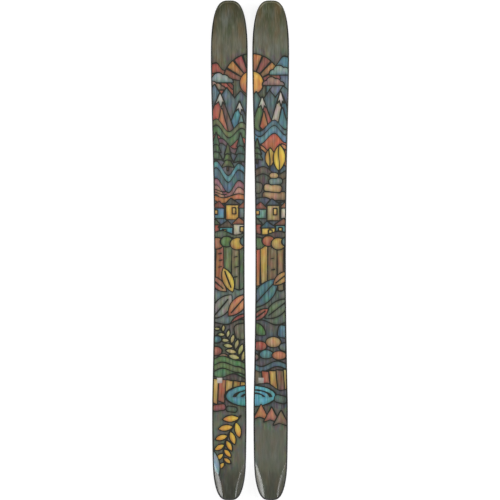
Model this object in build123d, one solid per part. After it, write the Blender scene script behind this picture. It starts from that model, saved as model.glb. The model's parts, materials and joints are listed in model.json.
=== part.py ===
from build123d import *
import math
import os

# A pair of wide freeride skis, sold flat, lying side by side on their running bases.
# X runs across the skis, Y along them towards the tips, Z up. The origin is on the floor,
# midway between the skis and midway along them. All sizes are in millimetres.
#
# Each ski is a laminate. From the floor up it holds a running base framed by two steel edges,
# a lower glass laminate between the edge flanges, rubber foils over the flanges, a wood core of
# poplar and ash strips between two sidewalls, a spacer at each end of the core, a plate that
# holds the binding screws, an upper glass laminate with a carbon strip let into it, and the
# topsheet. Every layer is an upright prism of the ski's outline, cut off by copies of two
# surfaces at set heights: the underside of the base and the top of the ski.

# ---- Driving dimensions: outline seen from above
ski_length = 1795.0
ski_spacing = 149.0          # centre line to centre line
waist_width = 110.1
waist_station = -41.0        # where the ski is narrowest, behind the middle
sidecut_radius = 16600.0
tip_width = 133.6            # full width that the shovel's outline tends to
tip_round_length = 210.0     # how far back from the tip the outline starts to close
tip_round_side = 2.7         # higher keeps the flanks parallel for longer
tip_round_nose = 3.0         # higher makes the nose blunter
tail_width = 116.0           # the same for the tail, measured at its very end
tail_flare = 0.0173          # half width gained per millimetre forward of the tail
tail_round_length = 149.0
tail_round_side = 2.3
tail_round_nose = 3.1
outline_blend = 35.0         # higher makes the widest points sharper

# ---- Driving dimensions: side view
camber_height = 3.0
contact_station = 540.0      # the base leaves the floor this far from the middle
tip_rise = 62.0
tail_rise = 42.0
rocker_power = 2.3           # higher keeps the ends low for longer, then turns them up faster

# ---- Driving dimensions: the lifted wings on each side of the tip and the tail
wing_slope = 0.2             # rise per millimetre outward of the crease
crease_power = 1.9
tip_wing_length = 150.0
tip_crease_inner = 24.0      # half width of the flat middle at the very tip
tip_crease_outer = 66.0      # and where the crease runs out at the side
tail_wing_length = 144.0
tail_crease_inner = 21.5
tail_crease_outer = 57.5

# ---- Driving dimensions: thickness
waist_thickness = 12.0       # from the base to the top of the topsheet, on the middle
end_thickness = 5.0
taper_end_station = 640.0    # the core has thinned to its ends this far from the middle
base_thickness = 1.3
flange_thickness = 0.7       # the lower laminate is as thick, so the two lie flush
foil_thickness = 0.3
laminate_thickness = 0.7
topsheet_thickness = 0.7
plate_thickness = 0.5

# ---- Driving dimensions: widths of the edge pieces, measured in from the outline
edge_width = 2.0             # steel that shows beside the base
flange_reach = 4.5           # how far the flange goes on under the sidewall
sidewall_setback = 0.8
topsheet_setback = 1.6

# ---- Driving dimensions: core
strip_width = 12.0
strip_count = 9              # alternately poplar and ash, with poplar outermost
core_end_station = 560.0     # where the core meets the spacers, at the sidewalls
core_point = 40.0            # how far the core's pointed ends reach into the spacers
carbon_width = 24.0
carbon_reach = 520.0

# ---- Driving dimensions: binding zone
zone_station = -70.0         # the middle of the boot sole
zone_length = 360.0          # the topsheet is level over this length
plate_length = 420.0
plate_width = 84.0
plate_corner = 12.0

# ---- How finely the curves are drawn
outline_step = 110.0
profile_step = 40.0
wing_step = 20.0

# ---- Cutting tools run past the ski by this much
overrun = 16.0

half_length = ski_length / 2
tool_half_length = half_length + overrun
tool_half_width = max(tip_width, tail_width + 2 * tail_flare * tail_round_length, waist_width) / 2 + overrun
tool_height = tip_rise + tail_rise + wing_slope * tool_half_width + waist_thickness + 6 * overrun
flange_inset = edge_width + flange_reach
zone_height = camber_height + waist_thickness
flush_height = base_thickness + flange_thickness
skin = laminate_thickness + topsheet_thickness


# ---- Formulas for the shape

def ease(t):
    """Goes smoothly from 0 to 1 as t does, and stays level outside."""
    t = min(max(t, 0.0), 1.0)
    return t * t * (3 - 2 * t)


def end_rounding(from_end, length, side, nose):
    """A superellipse quarter: 0 at the very end and 1 from length inwards."""
    t = min(max(from_end / length, 0.0), 1.0)
    return (1 - (1 - t) ** side) ** (1 / nose)


def half_width(y):
    """Half of the ski's width at station y: the narrowest of sidecut, tip and tail, blended."""
    from_tip = half_length - y
    from_tail = half_length + y
    sidecut = waist_width / 2 + (y - waist_station) ** 2 / (2 * sidecut_radius)
    tip = tip_width / 2 * end_rounding(from_tip, tip_round_length, tip_round_side, tip_round_nose)
    tail = tail_width / 2 + tail_flare * from_tail
    tail *= end_rounding(from_tail, tail_round_length, tail_round_side, tail_round_nose)
    total = sum(w ** -outline_blend for w in (sidecut, tip, tail))
    return total ** (-1 / outline_blend)


def base_height(y):
    """Underside of the base along the middle: camber between the contacts, rocker outside."""
    if abs(y) < contact_station:
        return camber_height * (1 - (y / contact_station) ** 2) ** 2
    rise = tip_rise if y > 0 else tail_rise
    return rise * ((abs(y) - contact_station) / (half_length - contact_station)) ** rocker_power


def top_height(y):
    """Top of the ski along the middle: level in the binding zone, then down to the thin ends."""
    zone_end = zone_station + math.copysign(zone_length / 2, y - zone_station)
    taper = ease((abs(y - zone_station) - zone_length / 2) / (taper_end_station - abs(zone_end)))
    return zone_height * (1 - taper) + (base_height(y) + end_thickness) * taper


def crease_half_width(y):
    """Distance from the middle to the crease where the lifted wing starts."""
    if y > 0:
        length, inner, outer = tip_wing_length, tip_crease_inner, tip_crease_outer
    else:
        length, inner, outer = tail_wing_length, tail_crease_inner, tail_crease_outer
    from_end = max(half_length - abs(y), 0.0)
    return inner + (outer - inner) * (from_end / length) ** crease_power


# ---- The spaces above the two curved surfaces

def steps(low, high, step):
    """Even stations from low to high, no further apart than step."""
    count = math.ceil(abs(high - low) / step)
    return [low + (high - low) * i / count for i in range(count + 1)]


def curve(height, low, high, step):
    """A spline in the YZ plane that follows a height formula between two stations."""
    h = step / 100
    tangents = [(0, 2 * h, height(y + h) - height(y - h)) for y in (low, high)]
    points = [(0, y, height(y)) for y in steps(low, high, step)]
    return Spline(*points, tangents=tangents, tangent_scalars=[1, 1])


def region(line, z):
    """The flat region in the YZ plane between a line of edges and the level z."""
    start, end = line[0] @ 0, line[-1] @ 1
    return make_face([*line, Polyline(end, (0, end.Y, z), (0, start.Y, z), start)])


def wing_wedge(height, end):
    """What the raised wing on the +X side takes away at one end: all that lies under it."""
    def wing_height(y):
        return height(y) - wing_slope * crease_half_width(y)

    length = tip_wing_length if end > 0 else tail_wing_length
    stations = sorted((end * (half_length - 1.5 * length), end * tool_half_length))
    line = curve(wing_height, *stations, wing_step)
    sideways = Vector(tool_half_width + overrun, 0, wing_slope * (tool_half_width + overrun))
    return Solid.extrude(region([line], -tool_height).face(), sideways)


def space_above(height, breaks, straight=None):
    """All that lies above a surface. The surface follows a height formula along the ski, drawn as
    one curve between each two breaks or as a line in the straight one, and is raised at the wings."""
    stations = [-tool_half_length, *breaks, tool_half_length]
    line = []
    for i, (low, high) in enumerate(zip(stations, stations[1:])):
        if i == straight:
            line.append(Line((0, low, height(low)), (0, high, height(high))))
        else:
            line.append(curve(height, low, high, profile_step))
    space = extrude(region(line, 2 * tool_height), amount=tool_half_width, both=True, dir=(1, 0, 0))
    for end in (1, -1):
        wedge = wing_wedge(height, end)
        space -= [wedge, mirror(wedge, about=Plane.YZ)]
    return space


base_space = space_above(base_height, [-contact_station, contact_station])
zone_ends = [zone_station - zone_length / 2, zone_station + zone_length / 2]
top_space = space_above(top_height, zone_ends, straight=1)


def above_base(z):
    """All that lies more than z above the underside of the base."""
    return base_space.moved(Location((0, 0, z)))


def above_top(z):
    """All that lies above the top of the ski, with z negative for depths into the ski."""
    return top_space.moved(Location((0, 0, z)))


# ---- Flat outlines

def outline_stations():
    """Stations for the outline's points: even angles round the ends, even steps between."""
    turns = [math.cos(math.pi * i / 16) for i in range(1, 8)]
    tail = [tail_round_length * (1 - turn ** (2 / tail_round_side)) - half_length for turn in turns]
    tip = [half_length - tip_round_length * (1 - turn ** (2 / tip_round_side)) for turn in turns]
    flank = steps(tail_round_length - half_length, half_length - tip_round_length, outline_step)
    return [*tail, *flank, *reversed(tip)]


def side_line(inset):
    """The +X side of the outline from tail to tip, moved inwards by inset."""
    points = [(0, inset - half_length)]
    for y in outline_stations():
        h = min(half_length - abs(y), overrun) / 50
        lean = (half_width(y + h) - half_width(y - h)) / (2 * h)
        size = math.hypot(1, lean)
        points.append((half_width(y) - inset / size, y + inset * lean / size))
    points.append((0, half_length - inset))
    return Spline(*points, tangents=[(1, 0), (-1, 0)], tangent_scalars=[1, 1])


def outline_face(inset):
    """The whole outline, moved inwards by inset."""
    side = side_line(inset)
    return make_face([side, mirror(side, about=Plane.YZ)])


def band_face(outer_inset, inner_inset):
    """The band between two insets of the outline on the +X side, cut at the centre line."""
    insets = (outer_inset, inner_inset)
    ends = [Line(*[(0, s * (half_length - inset)) for inset in insets]) for s in (1, -1)]
    return make_face([*[side_line(inset) for inset in insets], *ends])


def prism(face):
    """A flat outline made into an upright tool that runs past the ski above and below."""
    return extrude(Pos(0, 0, -tool_height) * face, amount=2 * tool_height, dir=(0, 0, 1))


def long_box(low, high, near, far):
    """A tall box between two stations across and two stations along the ski."""
    return Pos((low + high) / 2, (near + far) / 2, 0) * Box(high - low, far - near, 2 * tool_height)


def core_zone():
    """Upright tool over the core's length, with a point at each end."""
    wide, tip = tool_half_width, core_end_station + core_point
    corners = [(-wide, core_end_station), (0, tip), (wide, core_end_station)]
    return prism(make_face(Polyline(*corners, *[(-x, -y) for x, y in corners], close=True)))


core_body = core_zone()


# ---- The layers of one ski, standing on the origin

def make_base():
    return (prism(outline_face(edge_width)) & above_base(0)) - above_base(base_thickness)


def make_edge():
    """The +X steel edge: a strip beside the base and a flange above it."""
    whole = (prism(band_face(0, flange_inset)) & above_base(0)) - above_base(flush_height)
    under_flange = prism(outline_face(edge_width)) - above_base(base_thickness)
    return whole - under_flange


def make_lower_laminate():
    return (prism(outline_face(flange_inset)) & above_base(base_thickness)) - above_base(flush_height)


def make_foil():
    """The +X rubber foil between flange and sidewall."""
    band = prism(band_face(sidewall_setback, flange_inset)) & core_body
    return (band & above_base(flush_height)) - above_base(flush_height + foil_thickness)


def make_sidewall():
    """The +X sidewall, from the foil up to the upper laminate."""
    band = prism(band_face(sidewall_setback, flange_inset)) & core_body
    return (band & above_base(flush_height + foil_thickness)) - above_top(-skin)


def plate_prism():
    return prism(Pos(0, zone_station) * RectangleRounded(plate_width, plate_length, plate_corner))


def make_plate():
    return (plate_prism() & above_top(-skin - plate_thickness)) - above_top(-skin)


def make_strips():
    """The core's strips from -X to +X, with the plate's pocket cut in their tops."""
    inner = prism(outline_face(flange_inset)) & core_body
    inner = (inner & above_base(flush_height)) - above_top(-skin)
    inner -= plate_prism() & above_top(-skin - plate_thickness)
    cuts = [strip_width * (i - strip_count / 2) for i in range(strip_count + 1)]
    cuts[0], cuts[-1] = -tool_half_width, tool_half_width
    return [inner & long_box(low, high, -half_length, half_length) for low, high in zip(cuts, cuts[1:])]


def make_spacers():
    """The spacers beyond the core: the tip's and the tail's."""
    body = (prism(outline_face(sidewall_setback)) - core_body) & above_base(flush_height)
    body -= above_top(-skin)
    halves = ((0, half_length), (-half_length, 0))
    return [body & long_box(-tool_half_width, tool_half_width, *half) for half in halves]


def carbon_prism():
    return prism(Rectangle(carbon_width, 2 * carbon_reach))


def make_upper_laminate():
    sheet = (prism(outline_face(topsheet_setback)) & above_top(-skin)) - above_top(-topsheet_thickness)
    return sheet - carbon_prism()


def make_carbon_strip():
    return (carbon_prism() & above_top(-skin)) - above_top(-topsheet_thickness)


def make_topsheet():
    return (prism(outline_face(topsheet_setback)) & above_top(-topsheet_thickness)) - above_top(0)


def group(pieces):
    """Several separate solids as one node."""
    return Compound(children=[solid for piece in pieces for solid in piece.solids()])


def mirrored(piece):
    return mirror(piece, about=Plane.YZ)


def make_ski():
    """Every node of one ski. Side pieces are given for -X and +X, in that order."""
    edge, foil, sidewall = make_edge(), make_foil(), make_sidewall()
    strips = make_strips()
    tip_spacer, tail_spacer = make_spacers()
    middle = {
        "base": make_base(),
        "lower_laminate": make_lower_laminate(),
        "edge_foils": group([mirrored(foil), foil]),
        "poplar_strips": group(strips[0::2]),
        "ash_strips": group(strips[1::2]),
        "tip_spacer": tip_spacer,
        "tail_spacer": tail_spacer,
        "binding_plate": make_plate(),
        "upper_laminate": make_upper_laminate(),
        "carbon_strip": make_carbon_strip(),
        "topsheet": make_topsheet(),
    }
    sides = {
        "edge": (mirrored(edge), edge),
        "sidewall": (mirrored(sidewall), sidewall),
    }
    return middle, sides


def write(name, piece, x):
    """Puts a piece on its own ski's centre line and writes it."""
    export_step(Pos(x, 0, 0) * group([piece]), f"parts/{name}.step")


middle_pieces, side_pieces = make_ski()
os.makedirs("parts", exist_ok=True)
for ski, direction in (("left_ski", -1), ("right_ski", 1)):
    centre = direction * ski_spacing / 2
    for name, piece in middle_pieces.items():
        write(f"{ski}_{name}", piece, centre)
    for name, (minus, plus) in side_pieces.items():
        outer, inner = (minus, plus) if direction < 0 else (plus, minus)
        write(f"{ski}_outer_{name}", outer, centre)
        write(f"{ski}_inner_{name}", inner, centre)
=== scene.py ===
# %% [markdown]
# # A pair of wide freeride skis
# The skis lie on their bases, side by side, seen from straight above. The frame holds every layer
# of both laminates as CAD solids. This lesson dresses them: the printed topsheets are made anew as
# fine surfaces, and the steel, plastic, wood and glass layers keep their shape and get a finish.

# %% Load the frame
import json
from functools import partial

import bpy
import numpy as np
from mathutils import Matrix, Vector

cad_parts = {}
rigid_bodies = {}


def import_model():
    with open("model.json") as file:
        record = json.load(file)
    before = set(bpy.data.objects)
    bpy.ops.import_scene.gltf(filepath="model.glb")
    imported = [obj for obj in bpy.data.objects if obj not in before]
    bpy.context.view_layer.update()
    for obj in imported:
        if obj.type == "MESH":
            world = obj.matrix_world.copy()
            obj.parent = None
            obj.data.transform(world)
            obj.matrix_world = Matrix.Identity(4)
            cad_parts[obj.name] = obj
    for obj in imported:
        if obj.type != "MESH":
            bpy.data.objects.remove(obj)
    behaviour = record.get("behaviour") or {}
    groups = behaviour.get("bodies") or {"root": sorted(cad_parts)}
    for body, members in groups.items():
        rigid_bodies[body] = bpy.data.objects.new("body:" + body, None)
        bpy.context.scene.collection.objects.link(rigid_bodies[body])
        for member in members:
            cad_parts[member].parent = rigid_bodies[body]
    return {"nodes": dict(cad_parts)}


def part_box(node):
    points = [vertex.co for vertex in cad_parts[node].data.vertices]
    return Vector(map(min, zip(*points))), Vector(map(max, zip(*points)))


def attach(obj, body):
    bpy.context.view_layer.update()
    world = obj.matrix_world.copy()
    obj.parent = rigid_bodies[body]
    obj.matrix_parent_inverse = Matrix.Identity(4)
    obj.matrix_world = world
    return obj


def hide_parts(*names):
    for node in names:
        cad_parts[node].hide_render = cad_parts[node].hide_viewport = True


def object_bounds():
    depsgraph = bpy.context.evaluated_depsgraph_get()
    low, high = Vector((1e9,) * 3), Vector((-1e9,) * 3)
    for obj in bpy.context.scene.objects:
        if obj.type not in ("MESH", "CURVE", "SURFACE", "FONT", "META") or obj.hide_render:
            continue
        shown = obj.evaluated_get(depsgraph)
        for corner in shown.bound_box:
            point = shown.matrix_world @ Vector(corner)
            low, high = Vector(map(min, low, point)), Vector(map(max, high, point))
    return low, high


for thing in list(bpy.data.objects):
    bpy.data.objects.remove(thing)
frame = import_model()
cad_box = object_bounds()
SKIS = ("left_ski", "right_ski")
MM = 0.001
print("CAD box, m:", cad_box)

# %% [markdown]
# ## Helpers for colour and nodes
# Blender's shaders work with linear light, while a paint colour is written as an sRGB hex value.
# One function turns the one into the other, and one adds any shader node with its settings and
# links, so each finish below reads as a short recipe. A pattern's grain is given in millimetres, and
# a Mapping node takes it as the number of marks in a metre.

# %% Colour and nodes
RANGE, MIX, MATH, BUMP = "ShaderNodeMapRange", "ShaderNodeMix", "ShaderNodeMath", "ShaderNodeBump"
NOISE, WAVE, FIT = "ShaderNodeTexNoise", "ShaderNodeTexWave", "ShaderNodeMapping"
PLACE, PLASTIC, OUTPUT = "ShaderNodeTexCoord", "ShaderNodeBsdfPrincipled", "ShaderNodeOutputMaterial"
COLOURS, SMOOTH = {"data_type": "RGBA"}, {"interpolation_type": "SMOOTHSTEP"}
TIMES, LESS, SIZE, MOST = ({"operation": name} for name in ("MULTIPLY", "SUBTRACT", "ABSOLUTE", "MAXIMUM"))


def linear(text):
    """sRGB hex to linear RGB: below 0.04045 divide by 12.92, above it ((c + 0.055) / 1.055) ^ 2.4."""
    channels = np.array([int(text[i : i + 2], 16) / 255 for i in (1, 3, 5)])
    return np.where(channels < 0.04045, channels / 12.92, ((channels + 0.055) / 1.055) ** 2.4)


def rgba(text):
    """A hex colour as the four numbers that a colour socket takes."""
    return (*linear(text), 1.0)


def per_metre(across, along, up):
    """How many marks of a pattern fit in a metre along X, Y and Z: 1000 over each size in mm."""
    return tuple(1 / (MM * size) for size in (across, along, up))


def span(low, high, first=0.0, last=1.0):
    """The inputs of a Map Range node that carries low to first and high to last."""
    return dict(From_Min=low, From_Max=high, To_Min=first, To_Max=last)


def add(material, kind, settings=None, **links):
    """Adds a node. Settings name its properties. Links name its inputs, or number them as _0 and _1,
    and each takes a value, an output, or a node, which stands for its first live output."""
    node = material.node_tree.nodes.new(kind)
    for key, value in (settings or {}).items():
        setattr(node, key, value)
    live = [socket for socket in node.inputs if socket.enabled]
    for key, value in links.items():
        name = key.replace("_", " ")
        socket = live[int(key[1:])] if key[1:].isdigit() else next(s for s in live if s.name == name)
        if isinstance(value, bpy.types.Node):
            value = next(output for output in value.outputs if output.enabled)
        if isinstance(value, bpy.types.NodeSocket):
            material.node_tree.links.new(value, socket)
        else:
            socket.default_value = value
    return node


def blank(name):
    """A new material with no nodes yet, a function that adds one to it, and its Object coordinates."""
    material = bpy.data.materials.new(name)
    material.use_nodes = True
    material.node_tree.nodes.clear()
    node = partial(add, material)
    return material, node, node(PLACE).outputs["Object"]


print("white and mid grey in linear light:", linear("#ffffff")[0], linear("#808080")[0].round(3))

# %% [markdown]
# ## The shape of a ski
# A freeride ski is wide and turned up at both ends. Its outline is an hourglass: one large arc, the
# sidecut, closed by a round nose and a rounder tail. Its underside has a little camber under the boot
# and a long rocker outside the contact points. Near both ends the flanks lift like the sides of a
# spoon, along a soft crease. Formulas give all three, so the print's surface can be as fine as the
# print needs. The lengths are those of the solids, in millimetres.

# %% Lengths of the ski
box_low, box_high = (np.array(side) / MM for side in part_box("left_ski_topsheet"))
SPACING = 149.0
HALF = (cad_box[1][1] - cad_box[0][1]) / 2 / MM
SETBACK = HALF - (box_high[1] - box_low[1]) / 2
SHEET = 0.7
WAIST_HALF, WAIST_AT, SIDECUT = 55.05, -41.0, 16600.0
TIP_HALF, TIP_ROUND = 66.8, (210.0, 2.7, 3.0)
TAIL_HALF, TAIL_FLARE, TAIL_ROUND = 58.0, 0.0173, (149.0, 2.3, 3.1)
BLEND = 35
CAMBER, CONTACT, RISE_TIP, RISE_TAIL, ROCKER = 3.0, 540.0, 62.0, 42.0, 2.3
ZONE, ZONE_HALF, ZONE_TOP, END_THICK, TAPER_END = -70.0, 180.0, 15.0, 5.0, 640.0
CREASE_TIP, CREASE_TAIL, CREASE_POWER = (24.0, 42.0, 150.0), (21.5, 36.0, 144.0), 1.9
WING, CREASE_ROUND, DISH, DISH_WIDTH = 0.2, 2.6, 0.35, 20.0
print("half length, setback:", HALF, SETBACK)


# %% Outline
def closing(from_end, length, side, nose):
    """Superellipse quarter: 0 at the end, 1 from length inwards."""
    t = np.clip(from_end / length, 0, 1)
    return (1 - (1 - t) ** side) ** (1 / nose)


def half_width(y):
    """The narrowest of sidecut arc, nose and tail, blended by a high power mean."""
    cut = WAIST_HALF + (y - WAIST_AT) ** 2 / (2 * SIDECUT)
    tip = TIP_HALF * closing(HALF - y, *TIP_ROUND)
    tail = (TAIL_HALF + TAIL_FLARE * (HALF + y)) * closing(HALF + y, *TAIL_ROUND)
    tip, tail = np.maximum(tip, 1e-3), np.maximum(tail, 1e-3)
    return (cut**-BLEND + tip**-BLEND + tail**-BLEND) ** (-1 / BLEND)


print("width at the waist, mm:", 2 * half_width(np.array([WAIST_AT])).round(1))


# %% Heights
def base_height(y):
    """Camber 3 (1 - (y / 540)^2)^2 between the contacts, and outside them a rise by the power 2.3."""
    inside = CAMBER * (1 - (y / CONTACT) ** 2) ** 2
    rise = np.where(y > 0, RISE_TIP, RISE_TAIL)
    out = np.clip((np.abs(y) - CONTACT) / (HALF - CONTACT), 0, None)
    return np.where(np.abs(y) < CONTACT, inside, rise * out**ROCKER)


def top_height(y):
    """Level in the binding zone, then eased down to 5 above the base."""
    zone_end = ZONE + np.sign(y - ZONE) * ZONE_HALF
    t = np.clip((np.abs(y - ZONE) - ZONE_HALF) / (TAPER_END - np.abs(zone_end)), 0, 1)
    t = t * t * (3 - 2 * t)
    return ZONE_TOP * (1 - t) + (base_height(y) + END_THICK) * t


def crease(y):
    """How far from the middle the wing starts: narrow at the very end, wide further in."""
    depth = np.clip(HALF - np.abs(y), 0, None)
    tip, tail = (
        inner + growth * (depth / length) ** CREASE_POWER
        for inner, growth, length in (CREASE_TIP, CREASE_TAIL)
    )
    return np.where(y > 0, tip, tail)


def wing_height(x, y):
    """0 inside the rounded crease, and 0.2 times the distance past it outside."""
    past = np.abs(x) - crease(y)
    e = CREASE_ROUND
    soft = np.where(past < e, (past + e) ** 2 / (4 * e), past)
    return WING * np.where(past < -e, 0, soft)


def dish(x, y):
    """How deep the wing is dished: a parabola between crease and rim, 0.35 deep on a 20 wide wing."""
    width = np.clip(half_width(y) - SETBACK - crease(y), 1, DISH_WIDTH)
    share = np.clip((np.abs(x) - crease(y)) / width, 0, 1)
    return DISH * width / DISH_WIDTH * 4 * share * (1 - share)


def sheet_height(x, y):
    """Top of the ski: the middle line's height and the wing's, less the dish pressed into the wing."""
    return top_height(y) + wing_height(x, y) - dish(x, y)


print("height of tail, boot and tip, mm:", sheet_height(0.0, np.array([-HALF, ZONE, HALF])).round(1))

# %% [markdown]
# ## The topsheet's surface
# The real one is a thin printed plastic sheet, glued over the whole ski and trimmed 1.6 mm inside the
# edge steel. A coarse sheet with a picture wrapped on it would do for a game, but here the print is
# worked out point by point, so the sheet is a grid of about 1.7 mm. Its rows run across the ski and
# close to a pole at each end. A rim 0.3 mm wide rolls over to the sheet's cut side.

# %% Rows and edge of one topsheet
STEP = 1.7
ROLL = 0.3
END_ROWS, END_ZONE = 14, 14.0


def inset_half_width(y, inset, samples=1401):
    """Half width after moving the outline inwards: offset points along their normals, then read at y."""
    along = -HALF * np.cos(np.linspace(0, np.pi, samples))
    # The slope is read over a short step, which shrinks towards the ends.
    h = np.minimum(HALF - np.abs(along), 10) / 60 + 1e-6
    lean = (half_width(along + h) - half_width(along - h)) / (2 * h)
    size = np.hypot(1, lean)
    across = half_width(along) - inset / size
    along = along + inset * lean / size
    across[[0, -1]], along[0], along[-1] = 0, inset - HALF, HALF - inset
    order = np.argsort(along)
    return np.interp(y, along[order], np.maximum(across[order], 0))


def rows(reach):
    """Stations along the ski: every 1.7 mm, and closer and closer over the last 14 mm of each end."""
    near = END_ZONE * (np.arange(1, END_ROWS + 1) / (END_ROWS + 1)) ** 3
    middle = np.linspace(END_ZONE - reach, reach - END_ZONE, int(2 * (reach - END_ZONE) / STEP))
    return np.concatenate([near - reach, middle, (reach - near)[::-1]])


def rim_distance(x, y, near_end=230.0, end_reach=262.0, samples=420):
    """Distance in plan to the sheet's edge: across the ski, and near the ends to the nearest edge point."""
    far = (inset_half_width(y, SETBACK) - np.abs(x)).clip(0, None)
    for end in (-1, 1):
        near = np.flatnonzero(end * y > HALF - near_end)
        stations = end * (HALF - SETBACK - end_reach * np.linspace(0, 1, samples) ** 2)
        edge = inset_half_width(stations, SETBACK)
        gaps = np.hypot(np.abs(x[near, None]) - edge[None, :], y[near, None] - stations[None, :])
        far[near] = gaps.min(axis=1)
    return far


print("rows of a sheet:", len(rows(HALF - SETBACK - ROLL)))


# %% Loops, quads and fans
def offset_loop(edge, outwards, down):
    """Moves a closed loop of points outwards in plan, square to the loop, and down."""
    way = np.roll(edge, -1, axis=0) - np.roll(edge, 1, axis=0)
    out = np.stack([way[:, 1], -way[:, 0], np.zeros(len(edge))], axis=1)
    out /= np.linalg.norm(out, axis=1, keepdims=True)
    return edge + outwards * out - np.array([0, 0, down])


def grid_quads(index):
    """Quads between the neighbours of a table of vertex numbers, facing up where X and Y grow."""
    corners = [index[:-1, :-1], index[:-1, 1:], index[1:, 1:], index[1:, :-1]]
    return np.stack(corners, axis=-1).reshape(-1, 4)


def fan(pole, row):
    """Triangles from a pole to a row of vertex numbers."""
    return np.stack([np.full(len(row) - 1, pole), row[1:], row[:-1]], axis=1)


print("quads in a grid of 3 by 4 points:", len(grid_quads(np.arange(12).reshape(3, 4))))


# %% Grid of one topsheet
def topsheet_mesh(name, centre, columns=77, under_columns=9):
    """A closed sheet: a fine grid on top, a rolled rim, the cut side and a coarser underside."""
    reach = HALF - SETBACK - ROLL
    y = rows(reach)
    count = len(y)
    half = inset_half_width(y, SETBACK + ROLL)

    def grid(shares):
        x = half[:, None] * shares[None, :]
        return np.stack([x, np.broadcast_to(y[:, None], x.shape), sheet_height(x, y[:, None])], axis=-1)

    top = grid(np.linspace(-1, 1, columns))
    poles = np.array([[0, end, sheet_height(0.0, end)] for end in (-reach, reach)])
    numbers = np.arange(count * columns).reshape(count, columns)
    tail_pole, tip_pole = count * columns, count * columns + 1
    loop = np.concatenate([[tail_pole], numbers[:, -1], [tip_pole], numbers[::-1, 0]])
    top = np.concatenate([top.reshape(-1, 3), poles])
    edge = top[loop]
    inner_under = grid(np.linspace(-1, 1, under_columns))[:, 1:-1]
    inner_under[..., 2] += dish(inner_under[..., 0], inner_under[..., 1]) - SHEET
    rims = [offset_loop(edge, ROLL, down) for down in (ROLL, SHEET)]
    points = np.concatenate([top, *rims, inner_under.reshape(-1, 3)])

    n = len(loop)
    rings = np.stack([loop, tip_pole + 1 + np.arange(n), tip_pole + 1 + n + np.arange(n)])
    rings = np.concatenate([rings, rings[:, :1]], axis=1)
    under = np.empty((count, under_columns), int)
    under[:, 1:-1] = tip_pole + 1 + 2 * n + np.arange(inner_under[..., 0].size).reshape(count, -1)
    under[:, -1] = rings[2, 1 : count + 1]
    under[:, 0] = rings[2, count + 2 : n][::-1]
    quads = [grid_quads(numbers), grid_quads(rings)[:, ::-1], grid_quads(under)[:, ::-1]]
    fans = [fan(tail_pole, numbers[0]), fan(tip_pole, numbers[-1][::-1])]
    fans += [fan(rings[2, 0], under[0][::-1]), fan(rings[2, count + 1], under[-1])]

    points[:, 0] += centre
    faces = np.concatenate(quads).tolist() + np.concatenate(fans).tolist()
    mesh = bpy.data.meshes.new(name)
    mesh.from_pydata((points * MM).tolist(), [], faces)
    mesh.shade_smooth()
    piece = bpy.data.objects.new(name, mesh)
    bpy.context.scene.collection.objects.link(piece)
    return piece, points, rim_distance(points[:, 0] - centre, points[:, 1])


sheets = {}
for ski, sign in zip(SKIS, (-1, 1)):
    sheets[ski] = topsheet_mesh(f"{ski}_printed_topsheet", sign * SPACING / 2)
    print(ski, "topsheet faces:", len(sheets[ski][0].data.polygons))

# %% [markdown]
# ## The print: shapes as distances
# The print is a mountain country in the manner of stained glass: flat fields of muted paint between
# dark outlines, running on from one ski to the other. Each shape is a signed distance in millimetres,
# negative inside, worked out for all points of both sheets at once. A painter's canvas keeps two
# things at each point: the paint, and the distance to the nearest outline that still shows. The
# shader turns that distance into a crisp line, which a line painted on the grid could not be.

# %% Canvas
NO_INK = 1e3
both = np.concatenate([sheets[ski][1] for ski in SKIS])
X, Y = both[:, 0], both[:, 1]
paint = np.zeros((len(X), 3))
ink = np.full(len(X), NO_INK)
laid = []


def dye(text):
    """A dye seen through the satin sheet: 94 parts of its colour and 18 of a middle grey, in linear light."""
    return 0.94 * linear(text) + 0.18 * linear("#858486")


def lay(distance, colours, turn=90, outlined=True):
    """Paints a shape over what is there, in one colour or from the second of two to the first."""
    inside = distance < 0
    if not inside.any():
        return
    first, second = (dye(text) for text in (colours.split() * 2)[:2])
    way = X[inside] * np.cos(np.radians(turn)) + Y[inside] * np.sin(np.radians(turn))
    share = (way - way.min()) / (np.ptp(way) + 1e-6)
    paint[inside] = second + (first - second) * share[:, None]
    if outlined:
        ink[:] = np.where(inside, -distance, np.minimum(ink, distance))
    else:
        ink[inside] = NO_INK
    laid.append(inside.sum())


print("points of the canvas:", len(X))


# %% Discs, slabs and shards
def disc(cx, cy, r, stretch=1.0):
    """Distance from the centre, less the radius; stretch makes it longer up and down."""
    return (np.hypot(X - cx, (Y - cy) / stretch) - r) * min(1.0, stretch)


def slab(cx, cy, width, height, corner=6.0, turn=0.0):
    """A rounded box: distance outside a smaller box, less the corner radius."""
    c, s = np.cos(np.radians(turn)), np.sin(np.radians(turn))
    u = np.abs((X - cx) * c + (Y - cy) * s) - width / 2 + corner
    v = np.abs((Y - cy) * c - (X - cx) * s) - height / 2 + corner
    return np.hypot(np.maximum(u, 0), np.maximum(v, 0)) + np.minimum(np.maximum(u, v), 0) - corner


def to_segment(x0, y0, x1, y1):
    """Distance to a straight stretch: to the nearest point on it, which a projection finds."""
    dx, dy = x1 - x0, y1 - y0
    along = np.clip(((X - x0) * dx + (Y - y0) * dy) / (dx**2 + dy**2), 0, 1)
    return np.hypot(X - x0 - along * dx, Y - y0 - along * dy)


def shard(*corners, rounding=2.5):
    """A polygon: distance to its nearest side, negative where a ray crosses sides an odd number of times."""
    nearest = np.full(len(X), 1e6)
    inside = np.zeros(len(X), bool)
    for (x0, y0), (x1, y1) in zip(corners, corners[1:] + corners[:1]):
        nearest = np.minimum(nearest, to_segment(x0, y0, x1, y1))
        if y0 != y1:
            inside ^= ((Y >= y0) != (Y >= y1)) & (X < x0 + (Y - y0) * (x1 - x0) / (y1 - y0))
    return np.where(inside, -nearest, nearest) - rounding


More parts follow.
